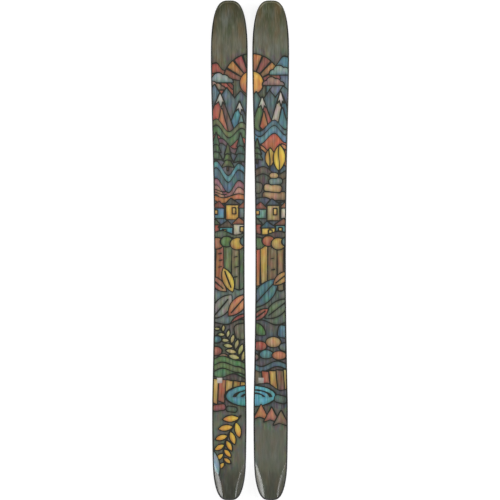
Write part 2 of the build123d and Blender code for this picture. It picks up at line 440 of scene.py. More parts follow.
print("points in a disc of 20 mm between boot and tip:", (disc(SPACING / 2, 200, 20) < 0).sum())


# %% Leaves, hills and strokes
def leaf(x0, y0, x1, y1, half):
    """Where two circles overlap: they cross at the leaf's tips and are 2 half apart at its middle."""
    length = np.hypot(x1 - x0, y1 - y0)
    c, s = (x1 - x0) / length, (y1 - y0) / length
    u = (X - x0) * c + (Y - y0) * s - length / 2
    v = np.abs((Y - y0) * c - (X - x0) * s)
    radius = (length**2 / 4 + half**2) / (2 * half)
    return np.hypot(u, v + radius - half) - radius


def eased(points, x):
    """A smooth line through points, level at each of them. They are given as X, Y, X, Y and so on."""
    xs, ys = np.reshape(points, (-1, 2)).T.astype(float)
    k = np.clip(np.searchsorted(xs, x) - 1, 0, len(xs) - 2)
    t = np.clip((x - xs[k]) / (xs[k + 1] - xs[k]), 0, 1)
    return ys[k] + (ys[k + 1] - ys[k]) * t * t * (3 - 2 * t)


def hill(*points, drop=0.0):
    """All below a smooth line, from its first to its last X; 0.94 of the height is the usual distance."""
    side = np.maximum(points[0] - X, X - points[-2])
    return np.maximum((Y - eased(points, X) + drop) * 0.94, side)


def stroke(points, width):
    """Distance to a line of points, less half the width."""
    spans = [to_segment(*start, *end) for start, end in zip(points, points[1:])]
    return np.minimum.reduce(spans) - width / 2


def pen(points):
    """A bare outline along a line of points: it lowers the ink's distance and leaves the paint."""
    ink[:] = np.minimum(ink, np.maximum(stroke(points, 0), 0))


print("a line eased from 0 to 10, at a quarter:", eased((0, 0, 4, 10), np.array([1.0])))

# %% [markdown]
# ## The print: the bare ground
# Tips and tails are plain, in an olive grey like weathered larch boards. It runs from a brown olive at
# the nose to a stone grey further in, and to a dark olive at the tail's end: the darkening towards
# both ends is painted shade. The left ski's two ends are painted a little darker than the right one's,
# as more painted shade.

# %% Ground colour and painted end shade
# Painted shade: the olive ground darkens towards both ends of each ski.
ground = {
    900: "#4b4930", 880: "#4e4c33", 850: "#504f39", 800: "#5b5c49", 760: "#676656", 700: "#666759",
    560: "#565749", 0: "#4b4c42", -560: "#5d5f53", -660: "#63665b", -745: "#616358", -785: "#575a4c",
    -806: "#4c4d41", -850: "#434438", -890: "#3d3e32",
}
heights = np.array(sorted(ground))
shades = np.array([linear(ground[h]) for h in heights])
ground_and_end_shade = np.stack([np.interp(Y, heights, shades[:, channel]) for channel in range(3)], axis=1)
# Painted shade: the left ski's ends are darker still.
left_shade = np.interp(Y, (-840, -760, 760, 840), (0.66, 1.0, 1.0, 0.76))
ground_and_end_shade *= np.where(X < 0, left_shade, 1.0)[:, None]


def bare(distance):
    """Wipes a region back to the ground and its painted end shade, with no outline within 40 mm of its
    border.
    """
    paint[distance < 0] = ground_and_end_shade[distance < 0]
    ink[distance < 0] = np.maximum(ink, distance + 40)[distance < 0]


bare(np.full(len(X), -1.0))
print("colours along the ground:", len(ground))

# %% [markdown]
# ## The print: sky, sun and peaks
# A sun stands between the skis with wedge rays, and cloud banks flank it. A far range is one jagged
# line, and each near peak has a lit face, a shaded face, a notch of rock between them and snow on top.

# %% Sky and sun
lay(hill(-150, 668, -122, 676, -96, 650, -60, 596), "#96453a #7c4238")
lay(hill(-150, 634, -118, 640, -92, 606, -60, 580), "#b2573f #8f4a40")
lay(hill(58, 596, 88, 664, 122, 700, 150, 694), "#4d7f8d #3d626e")
lay(hill(70, 580, 98, 628, 126, 656, 150, 650), "#5a6c7c #4a5a66")


def sun(cx, cy, inner, outer, colours):
    """Wedge rays over the upper half, then the disc over their feet."""
    turns = np.radians(np.linspace(8, 172, len(colours) + 1))
    for a, b, colour in zip(turns, turns[1:], colours):
        b -= 0.06
        rim = [(cx + outer * np.cos(t), cy + outer * np.sin(t)) for t in (a, (a + b) / 2, b)]
        foot = [(cx + inner * 0.6 * np.cos(t), cy + inner * 0.6 * np.sin(t)) for t in (b, a)]
        lay(shard(*rim, *foot, rounding=1.0), colour + " #7c4a3c")
    lay(disc(cx, cy, inner), "#e8b044 #bb5a3c", turn=60)


sun(6, 604, 43, 104, "#b0563c #c98a3f #8f4038 #c07a35 #557440 #a8493c #c98a3f #93503c".split())


def cloud(x, y, size, colours):
    """Four discs side by side, cut level at the foot."""
    puffs = [(-0.62, 0.10, 0.36), (-0.18, 0.34, 0.46), (0.28, 0.22, 0.42), (0.68, 0.06, 0.32)]
    shape = np.minimum.reduce([disc(x + size * u, y + size * v, size * r) for u, v, r in puffs])
    lay(np.maximum(shape, y - Y), colours)


cloud(-106, 604, 46, "#a9bab4 #637e84")
cloud(112, 632, 44, "#9fb8b0 #5a7e84")
cloud(84, 594, 40, "#b08478 #80605c")
cloud(-128, 578, 40, "#a8897a #77584e")
print("shapes with the sky:", len(laid))

# %% Peaks
left_range = ((-150, 566), (-128, 596), (-104, 556), (-84, 584), (-56, 546), (-34, 572), (0, 536))
right_range = ((0, 536), (22, 570), (44, 536), (70, 574), (92, 548), (120, 590), (150, 566))
lay(shard(*left_range, (0, 430), (-150, 430)), "#4c6572 #39484f")
lay(shard(*right_range, (150, 430), (0, 430)), "#43606a #37474d")


def peak(x, top, left, right, foot, lit, shaded, rock):
    """Two faces that share a bent ridge, a wedge of rock on the shaded one, and a notched cap."""
    ridge = [(x, top), (x + 6, top - 0.35 * (top - foot)), (x - 7, top - 0.7 * (top - foot)), (x + 2, foot)]
    lay(shard(*ridge, (left, foot)), lit, turn=70)
    lay(shard(*ridge, (right, foot)), shaded, turn=110)
    lay(shard(ridge[1], ridge[2], (x + 0.55 * (right - x), foot + 4)), rock, turn=100)
    w, h = 0.24 * (x - left), 0.24 * (top - foot)
    cap = ((0, 0), (-1, 1), (-0.3, 0.7), (0.2, 1.25), (0.5, 0.75), (1.1, 1))
    lay(shard(*((x + w * u, top - h * v) for u, v in cap), rounding=1.5), "#f0e9d6 #a9a79c")


peak(-38, 536, -92, 16, 400, "#4a97a6 #356a74", "#43565c #33464c", "#6f8f8a #55736f")
peak(-108, 566, -176, -48, 404, "#a8443a #b95b42", "#6b4038 #5a403a", "#c0714c #8f4c3c")
peak(110, 572, 62, 178, 404, "#d2c8ac #8f9182", "#3a6c7a #2f5158", "#4d8a94 #3d6a70")
peak(44, 552, -10, 98, 402, "#54803f #48603a", "#b04f3a #8b453a", "#cf7f48 #a5593c")
print("shapes with the peaks:", len(laid))

# %% [markdown]
# ## The print: foothills, trees and river
# Foothills repeat one smooth line at several drops, so their outlines run side by side like strokes
# of a broad brush. Pines are stacks of tiers, larches are upright leaf shapes on a thin trunk.


# %% Foothills
def ridges(line, *steps):
    """The same hill again and again: each step has its drop below the line and its two colours."""
    for drop, colours in steps:
        lay(hill(*line, drop=drop), colours)


ridges((-150, 452, -122, 474, -76, 428, -30, 462, 0, 446),
       (0, "#5d7040 #4b5c3a"), (22, "#42683f #395a3a"), (54, "#a0473c #7a3d38"))
ridges((0, 450, 34, 430, 88, 470, 128, 436, 150, 452),
       (0, "#39687a #2c5260"), (20, "#4d8694 #3b6874"), (48, "#bb5a3c #a34a38"))
ridges((-150, 380, -104, 404, -56, 366, 0, 392),
       (0, "#654a50 #73605f"), (18, "#50585e #3f494e"))
ridges((0, 392, 36, 380, 80, 350, 116, 384, 150, 366),
       (0, "#c8854a #a5603c"), (16, "#435262 #36424e"))
print("shapes with the foothills:", len(laid))


# %% Trees
def pine(x, foot, height, width, colours):
    """Three tiers, widest at the foot, over a short trunk."""
    lay(stroke([(x, foot - 10), (x, foot + 10)], 6), "#6b4d38")
    for tier in range(3):
        low = foot + tier * 0.27 * height
        half = width / 2 * (1 - 0.24 * tier)
        corners = ((x, low + 0.46 * height), (x - half, low), (x - 0.2 * half, low + 5), (x + half, low + 1))
        lay(shard(*corners, rounding=1.5), colours)


def larch(x, foot, height, half, colours):
    """A leaf shape with a lit and a shaded side, on a thin trunk."""
    lay(stroke([(x, foot - 16), (x + 1, foot + 8)], 4.5), "#6a4a34")
    crown = leaf(x, foot, x + 3, foot + height, half)
    lay(crown, colours, turn=20)
    lay(np.maximum(crown, X - x - 2 * np.sin((Y - foot) / 14)), " ".join(colours.split()[::-1]))


pine(-122, 326, 98, 44, "#44703f #335238")
pine(-34, 318, 104, 48, "#3d6a58 #2f4c44")
pine(-80, 300, 84, 42, "#667a3e #445a36")
pine(26, 326, 76, 38, "#44703f #33503a")
larch(70, 300, 70, 17, "#ecd064 #c4923c")
larch(134, 296, 76, 18, "#c9853a #a85f34")
larch(104, 286, 96, 22, "#f4d44a #d39c30")
print("shapes with the trees:", len(laid))

# %% River and cairn
ridges((-150, 304, -122, 322, -78, 270, -40, 314, 0, 286),
       (0, "#4b8a98 #37666f"), (24, "#3a6270 #2f4f58"), (62, "#93606a #a06c60"),
       (86, "#b8806c #8f5850"), (120, "#4a6e70 #365256"))
ridges((0, 286, 48, 302, 98, 274, 150, 296), (0, "#5a4636 #4a3f36"), (26, "#46423a #3a3a33"))
for y, width, height, shift, colours in (
    (196, 86, 32, 0, "#a98258 #86613f"), (224, 66, 28, -6, "#c3a56c #a08050"),
    (249, 50, 24, 4, "#6f8a84 #54706c"), (270, 34, 20, -2, "#cdb377 #b3935c"),
):
    lay(slab(88 + shift, y, width, height, corner=11, turn=shift), colours)
lay(slab(26, 226, 36, 40, corner=13, turn=-12), "#6b6a58 #4f5044")
for drop in (0, 10):
    pen([(x, 216 - drop + 5 * np.sin(x / 12)) for x in range(-140, -84, 6)])
print("shapes with the river:", len(laid))

# %% [markdown]
# ## The print: village, wood and leaves
# Under the boot stands a village of narrow houses, each a wall, a crooked roof and one window.
# Below it trunks stand side by side under round crowns, and big leaves fall across their feet. The
# trunks are long shards with a slight lean, which suits the lengthwise brush marks.

# %% Village
lay(hill(-150, 206, -96, 190, -40, 204, 0, 196), "#c57a48 #a85c3c")
lay(hill(-150, 186, -96, 170, -40, 184, 0, 178), "#465866 #36454e")
lay(hill(0, 184, 50, 192, 104, 172, 150, 184), "#3f4d58 #343f46")


def house(x, foot, width, height, wall, roof, side=1):
    """A wall, a gable roof whose ridge is off the middle, and one window on the other side."""
    half, eaves = width / 2, foot + height
    lay(shard((x - half, foot), (x + half, foot), (x + half, eaves), (x - half, eaves), rounding=1), wall)
    gable = ((x - half - 4, eaves - 2), (x + side * 5, eaves + 0.44 * width), (x + half + 4, eaves - 2))
    lay(shard(*gable, rounding=1.5), roof)
    window = slab(x - side * half * 0.3, foot + 0.55 * height, 0.3 * width, 0.4 * height, corner=1.5)
    lay(window, "#f2d466 #c08a44")


for x, foot, width, height, wall, roof, side in (
    (-116, 116, 46, 40, "#5c96b0 #3f6f84", "#9c4438 #7a3c34", 1),
    (-64, 112, 44, 56, "#ecc650 #c08c3a", "#4c4038 #3c3630", -1),
    (-16, 118, 44, 38, "#6d8078 #4c5f5c", "#bb5c3c #96483a", -1),
    (34, 116, 48, 36, "#7fa8a0 #557f7c", "#a8503c #7c4238", 1),
    (84, 108, 44, 58, "#bfa468 #96794a", "#374a54 #2f3e46", -1),
    (134, 116, 44, 40, "#ddd4b8 #9a9784", "#b5663c #8c4c36", -1),
    (-134, 52, 44, 44, "#b8573f #8c443a", "#47604a #384c3c", 1),
    (-86, 46, 46, 40, "#4aa2ae #34707c", "#5a4038 #483630", 1),
    (-36, 50, 46, 48, "#ddd6bc #969788", "#a8683a #844c34", -1),
    (18, 48, 42, 50, "#a8493c #7c3c36", "#4f5a50 #3e463e", 1),
    (66, 44, 46, 40, "#ecc850 #bc903e", "#3c6470 #304f58", -1),
    (116, 48, 46, 46, "#5a8f96 #42707a", "#8f5a3c #6c4434", 1),
):
    house(x, foot, width, height, wall, roof, side)
print("shapes with the village:", len(laid))

# %% Wood
lay(hill(-150, 60, -100, 72, -52, 56, 0, 68), "#4a5a44 #36443a")
lay(hill(0, 66, 50, 56, 104, 70, 150, 58), "#4f4a3a #3a3a34")
for x, low_x, width, colours in (
    (-134, -130, 30, "#3f808c #46656a"), (-106, -110, 26, "#a85c3c #bb7a48"),
    (-78, -74, 30, "#5f7440 #4c6038"), (-50, -54, 24, "#8a7f58 #5f5a42"),
    (-22, -20, 30, "#46663c #3a5238"), (20, 16, 32, "#bb583c #c28a44"),
    (52, 56, 26, "#cfa84c #8b7c48"), (82, 78, 30, "#80683f #654e36"),
    (112, 116, 26, "#a07c4a #6c5238"), (138, 136, 26, "#5f5844 #453e34"),
):
    half = width / 2
    lay(shard((x - half, 40), (x + half, 44), (low_x + half, -190), (low_x - half, -190)), colours)
for x, low, high in ((-50, -96, 12), (82, -110, 10), (-106, -60, 12), (138, -120, 10)):
    for k in range(4):
        mark = low + (high - low) * k / 3
        pen([(x - 7 + 3 * (k % 2), mark), (x + 3 + 3 * (k % 2), mark + 2)])
for x, y, size, colours in (
    (-120, 26, 25, "#c07a3c #94502f"), (-84, 32, 23, "#6a8a44 #46663a"),
    (-46, 24, 26, "#d0a83c #a8762f"), (-14, 34, 22, "#4f8a86 #386460"),
    (28, 26, 26, "#547c40 #3c5c38"), (66, 34, 23, "#c8703c #9c4a34"),
    (102, 24, 26, "#cfae48 #a07c38"), (136, 32, 22, "#4a7478 #36565c"),
):
    lay(disc(x, y, size, stretch=0.84), colours, turn=70)
print("shapes with the wood:", len(laid))

# %% Leaves
lay(hill(-150, -132, -90, -116, -40, -142, 0, -126), "#5c6c68 #43524f")
lay(hill(0, -134, 60, -120, 110, -146, 150, -128), "#4a5a4c #3a4640")
for x0, y0, x1, y1, half, colours in (
    (-150, -92, -84, -148, 18, "#c88a68 #9c5c44"), (-96, -62, -62, -150, 20, "#f0cc4c #c08e38"),
    (-136, -244, -66, -160, 27, "#9fa090 #70746a"), (-78, -236, -10, -158, 24, "#d08a54 #a85a38"),
    (-70, -262, 0, -230, 14, "#a8503a #7c4034"), (6, -206, 100, -102, 31, "#3f858c #2f5a60"),
    (54, -244, 142, -176, 25, "#68795a #47523f"), (84, -124, 144, -76, 18, "#cba25c #946e40"),
    (8, -252, 66, -210, 15, "#b8603f #8a4636"),
):
    lay(leaf(x0, y0, x1, y1, half), colours, turn=20)
    rib = [(x0 * (1 - t) + x1 * t, y0 * (1 - t) + y1 * t) for t in (0.15, 0.8)]
    lay(stroke(rib, 0.6), colours.split()[1])
print("shapes with the leaves:", len(laid))

# %% [markdown]
# ## The print: moor, fern, fields and pond
# Behind the boot the print turns dark, with a fern and boulders as the bright marks, then a green
# hill, ploughed fields and a pond that both skis share.

# %% Moor
lay(hill(-150, -256, -84, -266, -30, -248, 0, -256), "#45463f #383c3c")
lay(hill(0, -260, 40, -250, 96, -268, 150, -254), "#3f444a #35383c")
lay(slab(-30, -292, 52, 58, corner=18, turn=10), "#6f6a54 #57533f")
lay(slab(122, -292, 44, 46, corner=13, turn=-8), "#4a7f8c #37606a")
lay(leaf(0, -262, 56, -304, 19), "#4f7a3e #3a5a34", turn=30)
for x, y, r, squash, colours in (
    (34, -344, 27, 0.66, "#b8543c #8a4436"), (84, -330, 28, 0.7, "#c9a56c #977448"),
    (128, -348, 24, 0.66, "#5f7478 #47585c"), (58, -374, 26, 0.62, "#4d8a90 #386066"),
    (106, -378, 27, 0.6, "#c47a50 #985a40"), (14, -384, 20, 0.66, "#8b7069 #6a5450"),
):
    lay(disc(x, y, r, stretch=squash), colours)


def frond(stem, reach, half, count, colours):
    """Leaflets in turn on both sides of a line of points, shorter towards its tip."""
    xs, ys = np.array(stem, float).T
    share = np.linspace(0, 1, len(stem))
    lay(stroke(stem, 3.4), colours.split()[1])
    for k, t in enumerate(np.linspace(0.04, 0.95, count)):
        x, y = np.interp(t, share, xs), np.interp(t, share, ys)
        dx, dy = np.interp(min(t + 0.05, 1), share, xs) - x, np.interp(min(t + 0.05, 1), share, ys) - y
        turn = np.arctan2(dy, dx) + (0.85 if k % 2 else -0.85)
        length = reach * (1 - 0.55 * t)
        leaflet = leaf(x, y, x + length * np.cos(turn), y + length * np.sin(turn), half * (1 - 0.4 * t))
        lay(leaflet, colours, turn=40)


stem = [(-28 - 60 * t - 24 * t * t, -404 + 128 * t) for t in np.linspace(0, 1, 9)]
frond(stem, 50, 9.5, 12, "#dfcf86 #98925a")
for x, y, r, colours in (
    (-124, -362, 24, "#a8553f #7c4238"), (-120, -320, 19, "#4a7f88 #365c64"),
    (-96, -386, 20, "#a88064 #7d5c48"),
):
    lay(disc(x, y, r, stretch=0.7), colours)
print("shapes with the moor:", len(laid))

# %% Hill and ploughed fields
ridges((-150, -398, -100, -380, -44, -396, 0, -412),
       (0, "#4f7a42 #41603a"), (22, "#5c6f40 #46583a"), (44, "#4a7448 #385a3c"))
ridges((0, -404, 40, -418, 98, -398, 150, -412),
       (0, "#3c6470 #324c54"), (20, "#4b4238 #3c3833"))
lay(hill(-150, -448, -108, -458, -60, -444, 0, -466), "#46403e #38363a")
for k, colours in enumerate((
    "#d3b25c #b07f3c", "#b5683c #96503a", "#d9bf6a #b9924a", "#a8763c #c49a48",
    "#cfae54 #a87c3c",
)):
    x, high, low = -140 + 26 * k, -462 - 3 * k, -544 + 5 * k
    lay(shard((x + 4, high), (x + 26, high - 4), (x + 20, low - 8), (x, low)), colours)
for k, colours in enumerate((
    "#b8573c #93483a", "#d0a654 #a87f40", "#8a6444 #6a4c3a", "#d6b868 #a88a4c",
)):
    x, high, low = 44 + 26 * k, -436 + 2 * k, -494 - 4 * k
    lay(shard((x, high), (x + 24, high - 2), (x + 32, low - 6), (x + 6, low)), colours)
print("shapes with the fields:", len(laid))

# %% Pond, shore and far ridge
bare(hill(-150, -552, -100, -560, -50, -548, 0, -556))
lay(hill(0, -486, 60, -478, 110, -504, 150, -496), "#3c4246 #33383a")
bare(hill(0, -548, 60, -560, 110, -572, 150, -556))
lay(disc(2, -524, 92, stretch=0.42), "#62c4d4 #37858e", turn=60)
for radius in (66, 40):
    lay(np.maximum(np.abs(disc(10, -530, radius, stretch=0.42)) - 0.4, -(Y + 526)), "#2f4a4c")
lay(slab(110, -536, 46, 28, corner=12, turn=-14), "#4a6a5c #3a4f48")
lay(slab(-112, -566, 50, 24, corner=11, turn=8), "#8f4438 #6c3a38")
lay(slab(-66, -572, 40, 20, corner=9, turn=-8), "#4c5f58 #3c4a42")
for x, top, colours in (
    (40, -556, "#cc8452 #a85c3c"), (78, -566, "#b9705a #8f5444"), (112, -578, "#8f7a58 #6b5a44"),
):
    lay(shard((x, top), (x - 27, top - 50), (x - 6, top - 42), (x + 28, top - 54), rounding=2), colours)
print("shapes with the pond:", len(laid))

# %% [markdown]
# ## The print: sprig and patches
# A sprig of leaves trails into the plain tail of the left ski. Each ski also carries a small blank
# pale patch behind the boot, where a real one has its printed size.

# %% Sprig and patches
stem = [(-34 - 40 * t - 34 * np.sin(2.6 * t), -596 - 176 * t) for t in np.linspace(0, 1, 12)]
frond(stem, 62, 12.5, 11, "#efc83c #cf8a2c")
lay(leaf(-136, -716, -112, -812, 14), "#8fb0bc #6b8a96", turn=100)
for sign in (-1, 1):
    lay(slab(sign * SPACING / 2 - 35, -467.6, 19, 19, corner=1.5), "#c9c4bd #b3aca6", outlined=False)
print("shapes in the print:", len(laid), "brightest paint:", paint.max().round(2))

# %% Put the print on the sheets
start = 0
for ski in SKIS:
    piece, points, rim = sheets[ski]
    mine = slice(start, start + len(points))
    start = mine.stop
    colour = np.concatenate([paint[mine], np.ones((len(points), 1))], axis=1)
    layer = piece.data.attributes.new("paint", "FLOAT_COLOR", "POINT")
    layer.data.foreach_set("color", colour.astype(np.float32).ravel())
    for name, values in (("ink", ink[mine]), ("rim", rim)):
        layer = piece.data.attributes.new(name, "FLOAT", "POINT")
        layer.data.foreach_set("value", np.clip(values, -50, 50).astype(np.float32))
    print(piece.name, "points with paint:", len(colour), "ink within 2 mm:", (ink[mine] < 2).sum())

# %% [markdown]
# ## The finish of the topsheet
# A clear polyamide sheet is printed from below with sublimation dyes and then roughened a little, so
# the picture lies under a satin skin. The paint comes from the attributes. Outlines are a threshold
# on the distance, made uneven by noise, and the fields darken towards them. Two streaks of noise,
# 7 by 130 mm and 1.3 by 34 mm, give lengthwise brush marks. A third noise shifts the hue inside the
# painted fields, and three thin washes of brown, green and grey wander over the plain ground.

# %% Grain of the paint
printed, node, place = blank("printed_polyamide_topsheet")
grains = {
    "broad": (7, 130, 130), "fine": (1.3, 34, 34), "blotch": (26, 60, 60), "wash": (24, 80, 80),
    "hue": (15, 32, 32), "skin": (3, 3, 3),
}
noise = {}
for name, size in grains.items():
    fit = node(FIT, Vector=place, Scale=per_metre(*size))
    noise[name] = node(NOISE, Vector=fit, Scale=1.0, Detail=3.0 if name in ("broad", "blotch") else 2.0)
across, along, _ = node("ShaderNodeSeparateXYZ", Vector=place).outputs
paint_in, ink_in, rim_in = (
    node("ShaderNodeAttribute", {"attribute_name": layer}).outputs[kind]
    for layer, kind in (("paint", "Color"), ("ink", "Fac"), ("rim", "Fac"))
)
print("grains of the print, mm:", grains)

# %% Brush marks
# All marks are faint on the bare tail, which starts 0.54 m behind the middle.
soft_light = {**COLOURS, "blend_type": "SOFT_LIGHT"}
busy = node(RANGE, Value=along, **span(-0.62, -0.54, 0.4, 1.0))
far = node(RANGE, SMOOTH, Value=ink_in, **span(14.0, 34.0, 0.8, 0.3))
far = node(MATH, TIMES, _0=far, _1=busy)
streaks = node(RANGE, Value=noise["broad"], **span(0.3, 0.7, 0.16, 0.84))
tone = node(MIX, soft_light, Factor=far, A=paint_in, B=streaks)
low, high, dark, light = ((level,) * 3 for level in (0.34, 0.66, 0.1, 0.9))
hues = node(
    RANGE, {"data_type": "FLOAT_VECTOR"},
    Vector=noise["hue"].outputs["Color"], **span(low, high, dark, light),
)
inside = node(RANGE, SMOOTH, Value=ink_in, **span(14.0, 34.0, 0.3, 0.06))
tone = node(MIX, soft_light, Factor=inside, A=tone, B=hues)
print("nodes up to the brush marks:", len(printed.node_tree.nodes))

# %% Washes and hairs
plain = node(RANGE, SMOOTH, Value=ink_in, **span(12.0, 30.0, 0.2, 0.62))
plain = node(MATH, TIMES, _0=plain, _1=busy)
washes = node("ShaderNodeSeparateColor", Color=noise["wash"].outputs["Color"])
for channel, low, wash in (("Red", 0.46, "#6a5638"), ("Green", 0.48, "#414d33"), ("Blue", 0.52, "#71766e")):
    part = node(RANGE, Value=washes.outputs[channel], **span(low, low + 0.24))
    part = node(MATH, TIMES, _0=part, _1=plain)
    tone = node(MIX, COLOURS, Factor=part, A=tone, B=rgba(wash))
for ends, mark in (((0.3, 0.48, 0.26, 0.0), "#2f302a"), ((0.54, 0.78, 0.0, 0.2), "#c8c3ad")):
    hairs = node(RANGE, Value=noise["fine"], **span(*ends))
    hairs = node(MATH, TIMES, _0=hairs, _1=busy)
    tone = node(MIX, COLOURS, Factor=hairs, A=tone, B=rgba(mark))
print("nodes up to the hairs:", len(printed.node_tree.nodes))

# %% Outlines
wobble = node(RANGE, Value=noise["blotch"], **span(0.3, 0.7, -1.3, 0.4))
uneven = node(MATH, _0=ink_in, _1=wobble)
shade = node(RANGE, SMOOTH, Value=uneven, **span(1.5, 11.0, 0.34, 0.0))
tone = node(MIX, COLOURS, Factor=shade, A=tone, B=rgba("#25261f"))
line = node(RANGE, SMOOTH, Value=uneven, **span(1.35, 2.05, 1.0, 0.0))
tone = node(MIX, COLOURS, Factor=line, A=tone, B=rgba("#282923"))
print("nodes up to the outlines:", len(printed.node_tree.nodes))

# %% Painted highlight on the nose
# A painted highlight of a bevel: a pale line follows the edge 5 mm inside it, and is strongest at the nose's
# two corners.
painted_bevel_highlight = node(MATH, {"operation": "COMPARE"}, _0=rim_in, _1=5.0, _2=1.8)
from_middle = node(MATH, SIZE, _0=across)
from_middle = node(MATH, LESS, _0=from_middle, _1=SPACING / 2 * MM)
from_middle = node(MATH, SIZE, _0=from_middle)
at_corners = node(RANGE, SMOOTH, Value=from_middle, **span(0.016, 0.032, 0.2, 0.5))
at_nose = node(RANGE, Value=along, **span(0.866, 0.882))
at_corners = node(MATH, TIMES, _0=at_nose, _1=at_corners)
painted_bevel_highlight = node(MATH, TIMES, _0=painted_bevel_highlight, _1=at_corners)
tone = node(MIX, COLOURS, Factor=painted_bevel_highlight, A=tone, B=rgba("#b9b69c"))
print("nodes up to the contour:", len(printed.node_tree.nodes))

# %% Painted shade along the nose's sides, and dark border
# Painted shade: the nose darkens over the last 20 mm towards its sides, more on the left ski.
painted_rim_shade = node(RANGE, SMOOTH, Value=rim_in, **span(2.0, 20.0, 0.42, 0.0))
at_sides = node(RANGE, Value=along, **span(0.775, 0.83))
painted_rim_shade = node(MATH, TIMES, _0=painted_rim_shade, _1=at_sides)
by_ski = node(RANGE, Value=across, **span(-0.01, 0.01, 1.0, 0.35))
painted_rim_shade = node(MATH, TIMES, _0=painted_rim_shade, _1=by_ski)
tone = node(MIX, COLOURS, Factor=painted_rim_shade, A=tone, B=rgba("#2e2f1e"))
# The border is 3.5 mm wide, and fades at the nose.
nose_border = node(RANGE, Value=along, **span(0.80, 0.88, 0.0, 4.6))
border = node(MATH, _0=rim_in, _1=nose_border)
border = node(RANGE, SMOOTH, Value=border, **span(2.6, 4.8, 0.97, 0.0))
tone = node(MIX, COLOURS, Factor=border, A=tone, B=rgba("#11120e"))
print("nodes up to the border:", len(printed.node_tree.nodes))

# %% Satin skin
satin = node(RANGE, Value=noise["fine"], **span(0.3, 0.7, 0.17, 0.23))
# The tail's border was sanded with the edge, so it is dull.
sanded = node(RANGE, Value=along, **span(-0.78, -0.70, 0.4, 0.0))
sanded = node(MATH, TIMES, _0=border, _1=sanded)
satin = node(MATH, _0=satin, _1=sanded)
skin = node(BUMP, Strength=0.2, Distance=0.00001, Height=noise["skin"])
shader = node(PLASTIC, Base_Color=tone, Roughness=satin, Normal=skin, IOR=1.52)
node(OUTPUT, Surface=shader)

for ski in SKIS:
    piece = sheets[ski][0]
    piece.data.materials.append(printed)
    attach(piece, "root")
    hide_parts(f"{ski}_topsheet")
    frame["nodes"][f"{ski}_topsheet"].data.materials.clear()
    frame["nodes"][f"{ski}_topsheet"].data.materials.append(printed)
print("topsheet material nodes:", len(printed.node_tree.nodes))

# %% [markdown]
# ## Steel and plastic round the outside
# The edges are spring steel, ground lengthwise, so their highlights stretch across the ski. Base and
# sidewalls are plastics that were ground as well: the base on a stone that leaves fine parallel
# grooves for the snow water, the sidewalls with a planer. All three keep their CAD shape.

# %% Ground edge steel
edge_steel, node, place = blank("ground_spring_steel")
grind, stain = (
    node(NOISE, Vector=node(FIT, Vector=place, Scale=per_metre(*size)), Scale=1.0, Detail=3.0)
    for size in ((0.9, 60, 0.9), (9, 22, 9))
)
tone = node(MIX, COLOURS, Factor=grind, A=rgba("#666a6d"), B=rgba("#8d9192"))
stained = node(RANGE, Value=stain, **span(0.55, 0.75, 0.0, 0.35))
tone = node(MIX, COLOURS, Factor=stained, A=tone, B=rgba("#6d6152"))
satin = node(RANGE, Value=grind, **span(0.3, 0.7, 0.28, 0.46))
scratches = node(BUMP, Strength=0.3, Distance=0.00003, Height=grind)
shader = node(PLASTIC, Base_Color=tone, Roughness=satin, Normal=scratches, Metallic=1.0)
node(OUTPUT, Surface=shader)
print("steel nodes:", len(edge_steel.node_tree.nodes))

# %% Sintered base with its grind
# The grooves are 0.6 mm apart on a real base; they are drawn 1.4 mm apart so that a render shows them.
GROOVE = 1.4
sintered, node, place = blank("sintered_polyethylene_base")
grooves = node(
    WAVE, {"bands_direction": "X", "wave_profile": "SIN"},
    Vector=place, Scale=2 * np.pi / (20 * GROOVE * MM), Distortion=0.6, Detail=1.0, Detail_Scale=0.2,
).outputs["Fac"]
fit = node(FIT, Vector=place, Scale=per_metre(30, 120, 30))
cloudy = node(NOISE, Vector=fit, Scale=1.0, Detail=4.0)
clouds = node(RANGE, Value=cloudy, **span(0.35, 0.7))
tone = node(MIX, COLOURS, Factor=clouds, A=rgba("#212224"), B=rgba("#36373a"))
# Painted shade: the bottoms of the grooves are darker.
depth = node(RANGE, Value=grooves, **span(0.0, 0.35, 0.35, 0.0))
tone = node(MIX, COLOURS, Factor=depth, A=tone, B=rgba("#141416"))
satin = node(RANGE, Value=cloudy, **span(0.3, 0.7, 0.3, 0.45))
cut = node(BUMP, Strength=0.5, Distance=0.00006, Height=grooves)
shader = node(PLASTIC, Base_Color=tone, Roughness=satin, Normal=cut, IOR=1.51)
node(OUTPUT, Surface=shader)
print("grooves in a base 120 mm wide:", round(120 / GROOVE))

# %% [markdown]
# ## One recipe for six finishes
# Planed plastic, moulded plastic, wood, rubber and sanded alloy differ in their colours, in the grain
# that the tool left and in how dull they are, but not in how they are put together: a grain fades one
# tone into another, changes the sheen a little, and presses a shallow relief. So a function holds the
# recipe, and a wood adds its pores as a second grain.


# %% Grained surfaces
def grained(name, dark, light, grain, sheen, relief, pores=None, **fixed):
    """Grain in mm mixes dark into light, sets the roughness between the two sheens, and lifts the skin."""
    material, node, place = blank(name)
    fit = node(FIT, Vector=place, Scale=per_metre(*grain))
    marks = node(NOISE, Vector=fit, Scale=1.0, Detail=3.0)
    spread = node(RANGE, Value=marks, **span(0.35, 0.65))
    tone = node(MIX, COLOURS, Factor=spread, A=rgba(dark), B=rgba(light))
    satin = node(RANGE, Value=marks, **span(0.3, 0.7, *sheen))
    if pores:
        fit = node(FIT, Vector=place, Scale=per_metre(*pores))
        marks = node(NOISE, Vector=fit, Scale=1.0, Detail=2.0)
        open_pores = node(RANGE, Value=marks, **span(0.58, 0.7, 0.0, 0.4))
        tone = node(MIX, COLOURS, Factor=open_pores, A=tone, B=rgba("#6b4a2b"))
    skin = node(BUMP, Strength=0.4, Distance=relief, Height=marks)
    shader = node(PLASTIC, Base_Color=tone, Roughness=satin, Normal=skin, **fixed)
    node(OUTPUT, Surface=shader)
    return material


